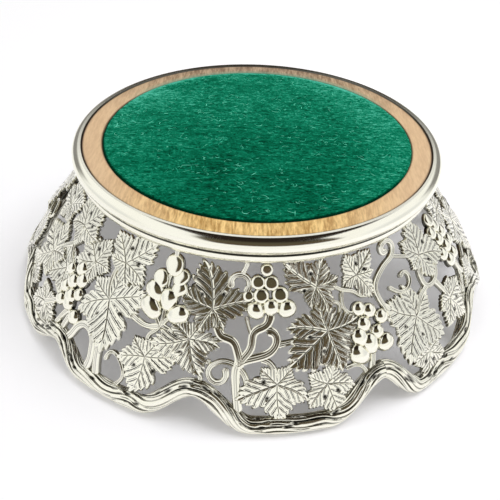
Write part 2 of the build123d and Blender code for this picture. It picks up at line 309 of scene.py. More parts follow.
def eased(corners, reach, steps=5):
    """A closed outline with each corner rounded: between two points on its sides, as far from the corner as
    the reach or a little under half of the side, the line is a parabola that the corner pulls on."""
    corner = np.asarray(corners, float)
    before = np.roll(corner, 1, axis=0) - corner
    after = np.roll(corner, -1, axis=0) - corner
    length_before = np.linalg.norm(before, axis=1, keepdims=True)
    length_after = np.linalg.norm(after, axis=1, keepdims=True)
    start = corner + before / length_before * np.minimum(reach, length_before * 0.45)
    end = corner + after / length_after * np.minimum(reach, length_after * 0.45)
    t = np.linspace(0, 1, steps)[None, :, None]
    rounded = (1 - t) ** 2 * start[:, None] + 2 * t * (1 - t) * corner[:, None] + t**2 * end[:, None]
    return rounded.reshape(-1, 2)


def piece(name, shells, material, node, crease=40):
    """One mesh object made of closed skins, in metres, that stands for a node of the frame."""
    offsets = np.cumsum([0] + [s[0].shape[0] for s in shells])
    points = np.concatenate([s[0] for s in shells]) * mm
    quads = np.concatenate([s[1] + offset for s, offset in zip(shells, offsets)])
    tris = np.concatenate([s[2] + offset for s, offset in zip(shells, offsets)])
    mesh = bpy.data.meshes.new(name)
    mesh.vertices.add(len(points))
    mesh.vertices.foreach_set("co", points.astype(np.float32).ravel())
    mesh.loops.add(quads.size + tris.size)
    mesh.loops.foreach_set("vertex_index", np.concatenate([quads.ravel(), tris.ravel()]).astype(np.int32))
    mesh.polygons.add(len(quads) + len(tris))
    starts = np.concatenate([np.arange(len(quads)) * 4, quads.size + np.arange(len(tris)) * 3])
    mesh.polygons.foreach_set("loop_start", starts.astype(np.int32))
    mesh.update(calc_edges=True)
    mesh.validate()
    mesh.shade_smooth()
    mesh.set_sharp_from_angle(angle=np.radians(crease))
    chasing = mesh.attributes.new("chasing", "FLOAT_VECTOR", "POINT")
    chasing.data.foreach_set("vector", np.concatenate([s[3] for s in shells]).astype(np.float32).ravel())
    mesh.materials.append(material)
    made = bpy.data.objects.new(name, mesh)
    scene.collection.objects.link(made)
    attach(made, "root")
    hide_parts(node)
    return made


def finish_with(nodes, inputs):
    """Ends a material: a Principled shader with these sockets."""
    shader = nodes.node("ShaderNodeBsdfPrincipled", None, inputs)
    nodes.node("ShaderNodeOutputMaterial", None, {"Surface": shader})


wood, grain, board = new_finish("waxed_hardwood")
flecks = board.stretched(fine_grain).noise(1.0, 4.0, Roughness=0.7)
bands = board.stretched(broad_grain).noise(1.0, 2.0)
light_or_dark = flecks * 0.68 + bands * 0.32
streak = light_or_dark.step(0.36, 0.64)
# Painted light and shade: one grain in a lighter golden front, pinkish sides and a darker umber back.
golden = streak.blend((0.43, 0.225, 0.05, 1), (0.97, 0.68, 0.28, 1))
pinkish = streak.blend((0.655, 0.44, 0.255, 1), (0.775, 0.545, 0.322, 1))
umber = streak.blend((0.18, 0.11, 0.065, 1), (0.54, 0.40, 0.27, 1))
board_x, board_y, from_centre = board.axis("X"), board.axis("Y"), board.from_axis()
wood_painted_by_side = board_x.size().step(0.012, 0.052).blend(golden, pinkish)
wood_painted_lit_and_shaded = board_y.step(0.010, 0.060).blend(wood_painted_by_side, umber)
# Painted shade: a dark line in the seam with the collar, stronger at the back, and one round the recess.
rear = board_y.step(-0.055, -0.02)
collar_seam_shade = from_centre.step(0.0589, 0.0599) * rear + from_centre.step(0.0592, 0.0599) * 0.6
seam_shade_mask = collar_seam_shade + from_centre.step(0.0538, 0.0531)
seam_shaded_wood = (seam_shade_mask * 0.8).blend(wood_painted_lit_and_shaded, seam_shade_brown)
stray_fibres = from_centre.step(0.0562, 0.0533) * board_y.step(0.018, 0.042)
fuzzy_wood = (stray_fibres * 0.62).blend(seam_shaded_wood, fibre_green)
wax_roughness = 0.42 + flecks * 0.18
raised_grain = light_or_dark.bump(0.2, 0.0001)
finish_with(
    grain,
    {"Base Color": fuzzy_wood, "Roughness": wax_roughness, "Normal": raised_grain, "Coat Weight": 0.08},
)

wood_profile = [
    (lathe_hole, plug_bottom),
    (plug_radius - press_slack, plug_bottom),
    (plug_radius - press_slack, wood_bottom),
    (wood_radius - press_slack, wood_bottom),
    (wood_radius - press_slack, wood_top),
    (recess_radius, wood_top),
    (recess_radius, recess_floor),
    (lathe_hole, recess_floor),
]
piece("wood_base_turned", [spun(eased(wood_profile, edge_easing), 192)], wood, "wood_base")

# Baize: one round of green woollen cloth with a short nap, glued into the recess of the wood. Its edge is
# pressed down by the knife, and a few pale hairs and lint lie on the nap.

baize_radius = 53.0
baize_top = 53.7
nap_room = 0.12
cut_edge = 0.25
edge_roll = 0.6
laid_nap = (420.0, 1150.0, 1150.0)
nap_greens = [
    (0.38, (0.0, 0.026, 0.012)),
    (0.5, (0.001, 0.108, 0.052)),
    (0.60, (0.006, 0.230, 0.125)),
    (0.70, (0.08, 0.48, 0.34)),
]

baize, nap, cloth = new_finish("green_baize")
tufts = cloth.stretched(laid_nap).noise(1.0, 3.0, Roughness=0.65, Distortion=1.0)
curls = cloth.noise(1500.0, 2.0, Distortion=1.0)
patches = cloth.noise(60.0, 3.0)
cloth_x, cloth_y, cloth_out = cloth.axis("X"), cloth.axis("Y"), cloth.from_axis()
# Lighter at the sides, where the nap is rubbed, and painted sheen lightens it towards the back.
nap_wear_and_sheen = cloth_x.size().step(0.015, 0.05) * 0.06 + cloth_y.step(-0.02, 0.05) * 0.068
shaded_edge = cloth_out.step(0.0521, 0.0528) * (cloth_y + cloth_x * 0.6).step(0.012, -0.012)
fuzzy_edge = cloth_out.step(0.0495, 0.0526) * cloth_y.step(0.015, 0.04)
pile = tufts * 0.55 + curls * 0.3 + patches * 0.15 + nap_wear_and_sheen - shaded_edge * 0.22 + fuzzy_edge * 0.13
green = nap.node("ShaderNodeValToRGB", {"stops": nap_greens}, {"Fac": pile})
finish_with(
    nap,
    {"Base Color": green, "Roughness": 0.95, "Normal": pile.bump(0.7, 0.0004), "Sheen Weight": 0.08,
     "Sheen Roughness": 0.4, "Sheen Tint": (0.2, 0.8, 0.6, 1), "Specular IOR Level": 0.0},
)


def cloth_round(radius, low, high, rings, steps):
    """A round of cloth: level on top but for a slow ripple of a tenth of a millimetre, rolled down at the
    edge in a quarter ellipse, with an edge that waves a little, and flat below."""
    turn = np.linspace(0, 2 * np.pi, steps, endpoint=False)[None, :]
    share = np.linspace(0, 1, rings + 1)[1:, None]
    across_top = radius * share * (1 - 0.0012 * np.sin(37 * turn) * share**8)
    ripple = 0.06 * (np.sin(across_top * 0.21 + 2 * turn) + np.sin(across_top * 0.13 - 3 * turn))
    roll = np.sqrt(np.clip(1 - np.clip((across_top - radius + edge_roll) / edge_roll, 0, 1) ** 2, 0, 1))
    height = low + cut_edge + (high - nap_room - low - cut_edge) * roll + ripple * roll * share
    bottom_radius = radius * np.linspace(1, 0, 6)[:-1, None] + 0 * turn
    radii = np.concatenate([across_top, bottom_radius])
    heights = np.concatenate([height, low + 0 * bottom_radius])
    cloth_rings = np.stack([radii * np.sin(turn), -radii * np.cos(turn), heights], -1)
    return shell(cloth_rings, [(0, 0, high - nap_room), (0, 0, low)])


baize_skin = cloth_round(baize_radius, recess_floor, baize_top, 60, 180)
baize_cloth = piece("baize_cloth", [baize_skin], baize, "baize_disc")

lint, lint_nodes, lint_place = new_finish("pale_lint")
lint_speck = lint_place.noise(260.0, 1.0).step(0.35, 0.65)
lint_colour = lint_speck.blend((0.01, 0.40, 0.24, 1), (0.22, 0.95, 0.70, 1))
finish_with(lint_nodes, {"Base Color": lint_colour, "Roughness": 0.9, "Specular IOR Level": 0.0})

hairs_count = 850
hairless_edge = 3
hair_sink = 0.1
long_hairs = slice(0, 14)
draw = np.random.default_rng(7)
hair_place = draw.uniform(-1, 1, (hairs_count * 2, 2)) * baize_radius
hair_place = hair_place[np.hypot(*hair_place.T) < baize_radius - hairless_edge][:hairs_count]
hair_turn = draw.normal(0, 0.9, len(hair_place))
hair_length = 0.7 + draw.gamma(2.0, 0.6, len(hair_place))
hair_bend = draw.normal(0, 1.6, len(hair_place))
hair_width = 0.03 + 0.065 * draw.uniform(0, 1, len(hair_place)) ** 2
hair_length[long_hairs] *= 2.2
hair_width[long_hairs] = 0.095


def hairs(place, turn, length, bend, width, height):
    """Hairs that lie on the nap: each is a thin four-sided thread along an arc of four steps, tapered at both
    ends."""
    t = np.linspace(-0.5, 0.5, 5)[None, :]
    angle = turn[:, None] + bend[:, None] * t
    x = place[:, :1] + length[:, None] * t * np.cos(angle)
    y = place[:, 1:] + length[:, None] * t * np.sin(angle)
    thick = width[:, None] * np.sqrt(1.02 - (2 * t) ** 2)
    corner = np.radians([0, 90, 180, 270])
    side = np.stack([-np.sin(angle), np.cos(angle), 0 * angle], -1)
    middle = np.stack([x, y, height + 0 * x], -1)
    lift = np.array([0, 0, 1.0])
    threads = middle[:, :, None] + thick[..., None, None] * (
        np.cos(corner)[:, None] * side[:, :, None] + np.sin(corner)[:, None] * lift
    )
    return [shell(one, [one[0].mean(0), one[-1].mean(0)]) for one in threads]


hair_skins = hairs(hair_place, hair_turn, hair_length, hair_bend, hair_width, baize_top - hair_sink)
baize_lint = piece("baize_lint", hair_skins, lint, "baize_disc")

# Collar: a spun and polished band of plated metal that grips the wood. From the top it has a lip, a large
# bead, a fine groove, a small bead and a skirt, with a flange under the wood. Old polish fills its groove,
# and the inner face of the lip, in the seam with the wood, is painted dark as shade.

collar_bottom = 44.6
bead_top = 53.6
bead_bottom = 48.0
groove_radius = 61.7
flange_bottom = 46.0
lip_bevel = 0.1
# Dark of the chased lines and of old polish in hollows, also used for painted shade in seams, holes, slits,
# at leaf edges and backs, round berry feet and under stems.
polish_and_painted_shade = (0.012, 0.011, 0.008, 1)

silver, plate, plate_place = new_finish("silver_plate")
chased = plate.node("ShaderNodeAttribute", {"attribute_name": "chasing"}, output="Vector")
vein_count, off_rib, recess = chased.axis("X"), chased.axis("Y"), chased.axis("Z")
breath = plate_place.noise(55.0, 3.0)
rubbing = plate_place.noise(900.0, 2.0)
vein_wave = (vein_count + breath * 0.12 + rubbing * 0.25).wave()
hatch_wave = (vein_count * 2.0 + rubbing * 0.4 + breath * 1.4).wave()
off_midrib = off_rib.step(0.15, 0.4) * rubbing.step(0.22, 0.42)
broken = off_rib.step(0.45, 0.9) * rubbing.step(0.36, 0.52)
engraved = (vein_wave.step(0.775, 0.97) * off_midrib).most(hatch_wave.step(0.69, 0.965) * broken * 0.88)
hollow = (vein_wave.step(0.62, 0.975) * off_midrib).most(hatch_wave.step(0.70, 0.985) * broken * 0.25)
# The recess mark carries old polish in hollows and painted shade, given point by point in the meshes.
cut = engraved.most(recess)
sunken = hollow.most(recess)
bright_plate = breath.blend((0.905, 0.885, 0.74, 1), (0.985, 0.972, 0.88, 1))
plate_colour = cut.blend(bright_plate, polish_and_painted_shade)
plate_roughness = 0.09 + cut * 0.22 + breath * 0.07
engraving = (rubbing * 0.03 - sunken).bump(0.55, 0.00012)
finish_with(
    plate,
    {"Base Color": plate_colour, "Metallic": 1.0, "Roughness": plate_roughness, "Normal": engraving},
)


def unchased(polish_and_shade):
    """The marks of metal without veins, which only say how dark each point is: old polish in hollows, and
    painted shade in seams, under parts and on their backs.
    """
    polish_and_shade = np.asarray(polish_and_shade, float)
    return np.stack([0 * polish_and_shade, 0 * polish_and_shade - 1, polish_and_shade], -1)


def arc(start, bulge, end, steps):
    """Points of the circle through three points, from start to end."""
    (ax, ay), (bx, by), (cx, cy) = start, bulge, end
    d = 2 * (ax * (by - cy) + bx * (cy - ay) + cx * (ay - by))
    ux = ((ax**2 + ay**2) * (by - cy) + (bx**2 + by**2) * (cy - ay) + (cx**2 + cy**2) * (ay - by)) / d
    uy = ((ax**2 + ay**2) * (cx - bx) + (bx**2 + by**2) * (ax - cx) + (cx**2 + cy**2) * (bx - ax)) / d
    turn = np.unwrap([np.arctan2(y - uy, x - ux) for x, y in (start, bulge, end)])
    sweep = np.interp(np.linspace(0, 2, steps), [0, 1, 2], turn)
    spokes = np.column_stack([np.cos(sweep), np.sin(sweep)])
    return np.column_stack([ux, uy]) + np.hypot(ax - ux, ay - uy) * spokes


bead_start, bead_bulge = (wood_radius + 1.1, bead_top), (wood_radius + 3.5, 50.8)
skirt_start, skirt_bulge = (groove_radius + 0.15, bead_bottom - 0.35), (groove_radius + 0.35, 46.5)
large_bead = arc(bead_start, bead_bulge, (groove_radius + 0.1, bead_bottom + 0.25), 40)
small_bead = arc(skirt_start, skirt_bulge, (wood_radius + 1.0, collar_bottom), 24)
collar_profile = np.concatenate([
    [(wood_radius, collar_bottom), (wood_radius, flange_bottom)],
    [(plug_radius, flange_bottom), (plug_radius, wood_bottom), (wood_radius, wood_bottom)],
    [(wood_radius, bead_top - lip_bevel), (wood_radius + lip_bevel, bead_top)],
    [(wood_radius + 0.2, bead_top), (wood_radius + 0.6, bead_top), (wood_radius + 1.0, bead_top)],
    large_bead,
    [(groove_radius - 0.25, bead_bottom + 0.1), (groove_radius - 0.15, bead_bottom - 0.2)],
    small_bead,
])
collar_points, collar_quads, collar_tris, _ = spun(collar_profile, 256)
collar_out, collar_up = np.hypot(collar_points[:, 0], collar_points[:, 1]), collar_points[:, 2]
in_groove = (collar_up > bead_bottom - 0.45) * (collar_up < bead_bottom + 0.2)
in_groove = in_groove * (collar_out > groove_radius - 0.5)
# Painted shade on the lip's inner face, in the seam with the wood; the groove holds old polish.
lip_seam_shade = (collar_up > wood_bottom + 1) * (collar_out < wood_radius + 0.15)
collar_skin = (collar_points, collar_quads, collar_tris, unchased(0.95 * in_groove + 0.9 * lip_seam_shade))
piece("base_collar_polished", [collar_skin], silver, "base_collar", crease=60)

# Pierced side: cast panels of vine work on a bell-shaped wall. The leaves are nearly flat and chased with
# veins, the grapes are embossed, and the stems are bevelled. Each panel is soldered to the next and into the
# collar. The bays, teeth and vein spacing of a leaf are shares of a lobe.

wall_pulls = np.array([(85.9, 0.0), (76.4, 25.6), (62.6, 32.7), (60.0, 43.8)])
t = np.linspace(-0.12, 1.15, 500)[:, None]
wall_weights = ((1 - t) ** 3, 3 * (1 - t) ** 2 * t, 3 * (1 - t) * t**2, t**3)
wall_line = sum(weight * pull for weight, pull in zip(wall_weights, wall_pulls))
wall_slant = np.concatenate([[0], np.cumsum(np.hypot(*np.diff(wall_line, axis=0).T))])
wall_lean = np.arctan2(-np.gradient(wall_line[:, 0], wall_slant), np.gradient(wall_line[:, 1], wall_slant))

cast_back = -0.75
leaf_face = 0.45
stalk_bay, lobe_bay = 0.22, 0.45
lobe_spread = np.radians(47)
vein_slope, vein_curve, vein_spacing = 1.25, 0.045, 0.21
tooth_out, tooth_forward = 0.10, 0.075
fold_height, swell_height = 0.09, 0.08
rib_width, rib_depth = 0.19, 0.12
edge_from, edge_drop = 0.955, 0.5
hole_place, hole_radius, hole_depth = 0.44, 0.74, 0.25
slit_width = 0.24
lobe_bend = 0.2
leaf_flatness = 0.75
berry_girth, berry_foot = 1.28, 0.1
flattening, upper_tilt = 0.32, 0.24
strip_inner, strip_outer = 58.45, 59.95
strip_bottom, strip_top = 44.2, 45.9
mm_per_degree = 1.25
stem_aside = np.array([-0.46, -0.5, -0.5, -0.37, -0.2, -0.12, 0.05, 0.16, 0.24, 0.37, 0.5, 0.5, 0.46, 0.0])
stem_proud = np.array([-0.75, -0.5, 0.55, 0.86, 0.9, 0.82, 0.92, 0.83, 0.9, 0.86, 0.55, -0.5, -0.75, -0.8])
# Dark marks round the section: the two fine grooves hold old polish, and the sides and underside against the
# wall are painted dark as shade.
stem_polish_and_shade = np.array([0.8, 0.6, 0.1, 0.0, 0.0, 0.55, 0.0, 0.5, 0.0, 0.0, 0.1, 0.6, 0.8, 0.8])


def radius_at(slant):
    """Radius of the bell at a slant up the wall line."""
    return np.interp(slant, wall_slant, wall_line[:, 0])


def slant_of(height):
    """How far up the wall line a height lies."""
    return np.interp(height, wall_line[:, 1], wall_slant)


def on_wall(azimuth, slant, relief):
    """Points of the bell: azimuth in radians from the front, slant up the wall line, relief out of it."""
    height = np.interp(slant, wall_slant, wall_line[:, 1])
    lean = np.interp(slant, wall_slant, wall_lean)
    out = radius_at(slant) + relief * np.cos(lean)
    return np.stack([out * np.sin(azimuth), -out * np.cos(azimuth), height + relief * np.sin(lean)], -1)


def unit(vectors):
    """Vectors brought to a length of one."""
    return vectors / np.linalg.norm(vectors, axis=1, keepdims=True)


def five(pointing, length):
    """Lobes of a regular leaf, each with its direction and length, round from the left of the stalk."""
    shares = ((-130, 0.66), (-68, 0.88), (0, 1.0), (68, 0.88), (130, 0.66))
    return [(pointing + turn, length * share) for turn, share in shares]


def leaf(azimuth, height, lobes, lift=0.0, samples=40, rings=20):
    """A vine leaf laid on the wall. Its outline runs from bay to tip to bay round each lobe: the distance
    from the middle falls evenly from tip to bay while the angle opens fast and then slowly. Side veins leave
    the midrib aslant and curve to the tip. Between two veins the leaf swells to a finger that ends in a tooth
    leaning to the tip. Rings shrink from the outline to where the veins meet. Midribs are grooves, the bays
    beside the longest lobe have a drilled hole and a slit, and each lobe bends to one side by the square of
    the distance along it."""
    turn, length = np.radians([t for t, _ in lobes])[:, None], np.array([n for _, n in lobes])[:, None]
    gap = (np.roll(turn, -1) - turn) % (2 * np.pi)
    stalk = np.arange(len(lobes))[:, None] == gap.argmax()
    mean = (length + np.roll(length, -1)) / 2
    bay = np.where(stalk, stalk_bay, lobe_bay) * mean
    half = np.minimum(gap / 2, lobe_spread)
    u = np.linspace(-1, 1, 2 * samples, endpoint=False)[None, :]
    w = np.sign(u) * np.abs(u) ** 1.6
    side = np.abs(w)
    bay_here = np.where(w < 0, np.roll(bay, 1), bay)
    half_here = np.where(w < 0, np.roll(half, 1), half)
    point = 0.10 * length * np.clip(1 - side / 0.12, 0, 1)
    distance = bay_here + (0.88 * length - bay_here) * (1 - side**1.15) + point
    drill = 0.36 / distance / half_here * np.exp(-(((side - 0.95) / 0.05) ** 2))
    angle = turn + np.sign(w) * half_here * (1 - (1 - side) ** 2.8 - drill)
    line = np.stack([distance * np.cos(angle), distance * np.sin(angle)], -1).reshape(-1, 2)
    forward = unit(np.roll(line, -1, axis=0) - np.roll(line, 1, axis=0))
    outward = np.stack([forward[:, 1], -forward[:, 0]], -1)

    def round_line(values):
        """Values of the lobes or samples, one for each point of the outline."""
        return np.broadcast_to(values, angle.shape).reshape(-1)

    axis_turn, reach = round_line(turn), round_line(length)

    def veins(spots):
        """How far along and across its lobe a place lies, and the count of side veins up to there."""
        along = spots[..., 0] * np.cos(axis_turn) + spots[..., 1] * np.sin(axis_turn)
        across = np.abs(spots[..., 1] * np.cos(axis_turn) - spots[..., 0] * np.sin(axis_turn))
        return along, across, (along - vein_slope * across + vein_curve * across**2) / (vein_spacing * reach)

    off_bay = np.clip((0.98 - round_line(side)) / 0.1, 0, 1)
    finger = np.abs(np.sin(np.pi * veins(line)[2])) ** 0.8 * off_bay
    to_tip = round_line(-np.sign(w))[:, None] * forward
    teeth = (reach * finger)[:, None] * (tooth_out * outward + tooth_forward * to_tip)
    v = 1 - (1 - np.linspace(0, 1, rings + 1)[1:]) ** 1.2
    v = np.concatenate([v[:-1] * 0.96, [edge_from, 1.0]])[:, None, None]
    flat = v * line + np.clip((v - 0.5) / 0.5, 0, 1) ** 1.5 * teeth
    along, across, count = veins(flat)
    fold = np.abs(np.sin(np.pi * count)) ** 0.4 * np.clip(across / 0.5, 0, 1)
    rib = np.clip(1 - across / rib_width, 0, 1) * np.clip((1.0 - along / reach) * 4, 0, 1)
    swell = np.sin(np.pi * np.clip(across / (0.34 * reach), 0, 1))
    edge = np.clip((v[..., 0] - edge_from) / (1 - edge_from), 0, 1)
    longest = length.argmax()
    beside = np.array([longest - 1, longest]) % len(lobes)
    bay_turn = (turn + half)[beside, 0]
    to_bay = np.stack([np.cos(bay_turn), np.sin(bay_turn)], -1)
    out_along = flat @ to_bay.T
    out_across = np.abs(flat @ np.stack([-to_bay[:, 1], to_bay[:, 0]]))
    hole_at, bay_at = hole_place * mean[beside, 0], bay[beside, 0]
    hole = np.exp(-((np.hypot(out_along - hole_at, 1.2 * out_across) / hole_radius) ** 6)).max(-1)
    in_slit = (out_along > hole_at) * (out_along < bay_at + 0.4)
    slit = (np.clip(1.3 - out_across / slit_width, 0, 1) * in_slit).max(-1)
    relief = lift + leaf_face + fold_height * fold + swell_height * swell
    relief = relief - rib_depth * rib - edge_drop * edge - hole_depth * hole
    back = np.array([0.97, 0.5])[:, None, None] * (line + teeth)
    all_flat = np.concatenate([flat, back])
    all_relief = np.concatenate([relief, np.full(back.shape[:2], lift + cast_back)])
    bend = lobe_bend * np.sin(2.4 * np.arange(len(lobes)) + azimuth)
    swirl = np.repeat(bend, 2 * samples) * (np.linalg.norm(all_flat, axis=-1) / reach) ** 2
    across_swirl = np.stack([-all_flat[..., 1], all_flat[..., 0]], -1)
    all_flat = np.cos(swirl)[..., None] * all_flat + np.sin(swirl)[..., None] * across_swirl
    middle_slant = slant_of(height)

    def placed(spots, reliefs):
        """Between the wall and a flat leaf that touches it where the veins meet, leaning back a little."""
        slant = middle_slant + spots[..., 1]
        turned_in = np.radians(azimuth) + spots[..., 0] / radius_at(slant)
        lean_back = np.radians(5 * np.clip((height - 15) / 6, 0, 1))
        lean = np.interp(middle_slant, wall_slant, wall_lean) + lean_back
        round_x, round_y = np.cos(np.radians(azimuth)), np.sin(np.radians(azimuth))
        rightward = np.array([round_x, round_y, 0])
        outward = np.array([round_y * np.cos(lean), -round_x * np.cos(lean), np.sin(lean)])
        climbing = np.cross(outward, rightward)
        flat_leaf = on_wall(np.radians(azimuth), middle_slant, 0.0)
        flat_leaf = flat_leaf + spots[..., :1] * rightward + spots[..., 1:] * climbing
        flat_leaf = flat_leaf + np.asarray(reliefs)[..., None] * outward
        return (1 - leaf_flatness) * on_wall(turned_in, slant, reliefs) + leaf_flatness * flat_leaf

    # Dark marks: the midribs hold old polish, while the outline, the drilled holes and the slits are painted
    # dark as shade.
    sunk = np.max([0.8 * rib, 0.42 * edge + 0 * rib, hole, 0.85 * slit], axis=0)
    marks = np.stack([count, across * np.clip((0.94 - v[..., 0]) / 0.1, 0, 1), sunk], -1)
    # The backs and side walls of the leaf are painted dark as shade.
    marks = np.concatenate([marks, unchased(np.full(back.shape[:2], 0.75))])
    ends = placed(np.zeros((1, 2, 2)), np.array([[lift + 0.4, lift + cast_back]]))[0]
    return shell(placed(all_flat, all_relief), ends, marks, [(0.0, 0.0, 0.4), (0.0, -1.0, 0.5)])


def grape(azimuth, height, radius, pull=0.0, towards=-90, steps=20):
    """A berry embossed from the wall: a half ellipsoid whose outline is drawn out to a point on one side. The
    berries near the collar are flatter and face up more."""
    turn = np.linspace(0, 2 * np.pi, steps, endpoint=False)[None, :]
    tip = np.clip(np.cos(turn - np.radians(towards)), 0, 1) ** 3
    outline = berry_girth * radius * (1 + 0.85 * pull * tip)
    share = np.sin(np.linspace(0, 0.5 * np.pi, 10))[1:, None]
    upper = np.clip((height - 33) / 3, 0, 1)
    reach = outline * np.concatenate([share, [[1.0], [0.6]]])
    proud = berry_foot + radius * (1.0 - flattening * upper) * (1 - share ** (2.0 + 2.4 * upper)) ** 0.5
    proud = proud - upper_tilt * upper * reach[:-2] * np.sin(turn)
    relief = np.concatenate([proud, np.full((2, steps), cast_back)])
    slant = slant_of(height) + reach * np.sin(turn)
    rings = on_wall(np.radians(azimuth) + reach * np.cos(turn) / radius_at(slant), slant, relief)
    peak_relief = np.array([berry_foot + radius * (1.0 - flattening * upper), cast_back])
    peak = on_wall(np.radians(azimuth), slant_of(height), peak_relief)
    # Painted shade round the foot of the berry, where it meets the wall, and on its back.
    dark = np.zeros(rings.shape[:2])
    dark[-4:] = np.array([0.25, 0.8, 0.9, 0.9])[:, None]
    return shell(rings, peak, unchased(dark), unchased([0, 0.8]))


def smooth_through(bends, spacing):
    """A curve through the given places, azimuth and height: each stretch is a cubic whose slope at a place is
    half the step from the place before to the place after."""
    knots = np.asarray(bends, float)
    padded = np.concatenate([2 * knots[:1] - knots[1:2], knots, 2 * knots[-1:] - knots[-2:-1]])
    spans = np.hypot(np.diff(knots[:, 0]) * mm_per_degree, np.diff(knots[:, 1]))
    stops = np.concatenate([[0], np.cumsum(np.maximum(3, np.ceil(spans / spacing)))])
    where = np.interp(np.arange(stops[-1] + 1), stops, np.arange(len(knots)))
    cell = np.minimum(where.astype(int), len(knots) - 2)
    t = (where - cell)[:, None]
    before, start, end, after = (padded[cell + i] for i in range(4))
    return 0.5 * (2 * start + (end - before) * t + (2 * before - 5 * start + 4 * end - after) * t**2
                  + (3 * start - before - 3 * end + after) * t**3)


def stem(width, *bends, lift=0.0, spacing=0.4):
    """A vine stem: a flat-faced section with bevelled edges and two fine grooves, carried along a smooth
    curve on the wall. The curve is spaced evenly, then each point moves to the mean of the seven round it.
    The stem broadens where it joins at both ends, and closes there in a round."""
    path = smooth_through(bends, spacing)
    far = np.concatenate([[0], np.cumsum(np.hypot(np.diff(path[:, 0]) * mm_per_degree, np.diff(path[:, 1])))])
    even = np.linspace(0, far[-1], max(8, int(far[-1] / spacing)))
    path = np.column_stack([np.interp(even, far, path[:, 0]), np.interp(even, far, path[:, 1])])
    padded = np.concatenate([2 * path[:1] - path[3:0:-1], path, 2 * path[-1:] - path[-2:-5:-1]])
    path = sum(padded[i:i + len(path)] for i in range(7)) / 7
    azimuth, slant = np.radians(path[:, 0]), slant_of(path[:, 1])
    middle = on_wall(azimuth, slant, lift + 0 * slant)
    normal = on_wall(azimuth, slant, lift + 1 + 0 * slant) - middle
    normal[:, 2] += 0.14 * np.clip((path[:, 1] - 16) / 4, 0, 1)
    normal = unit(normal)
    sideways = np.cross(unit(np.gradient(middle, axis=0)), normal)
    far = np.concatenate([[0], np.cumsum(np.linalg.norm(np.diff(middle, axis=0), axis=1))])
    from_end = np.minimum(far, far[-1] - far)
    closing = np.sqrt(np.clip(1 - (1 - np.clip((from_end + 0.04) / (width * 0.5), 0, 1)) ** 2, 0.03, 1))
    wide = width * closing * (1 + 0.35 * np.exp(-from_end / 1.5))
    section = stem_aside[None, :, None] * (wide[:, None] * sideways)[:, None]
    section = section + (stem_proud * (0.55 + 0.2 * width))[None, :, None] * normal[:, None]
    rings = middle[:, None] + section
    dark = np.broadcast_to(stem_polish_and_shade, rings.shape[:2])
    return shell(rings, [rings[0].mean(0), rings[-1].mean(0)], unchased(dark), unchased([0.2, 0.2]))


def band(start, end):
    """The strip inside the collar that a panel is soldered by: a rectangle swept round from start to end."""
    turn = np.radians(np.linspace(start, end, 24))[:, None]
    radius = np.array([strip_inner, strip_outer, strip_outer, strip_inner])[None, :]
    height = np.array([strip_bottom, strip_bottom, strip_top, strip_top])[None, :]
    rings = np.stack([radius * np.sin(turn), -radius * np.cos(turn), height + 0 * turn], -1)
    dark = np.full(rings.shape[:2], 0.15)
    return shell(rings, [rings[0].mean(0), rings[-1].mean(0)], unchased(dark), unchased([0.2, 0.2]))


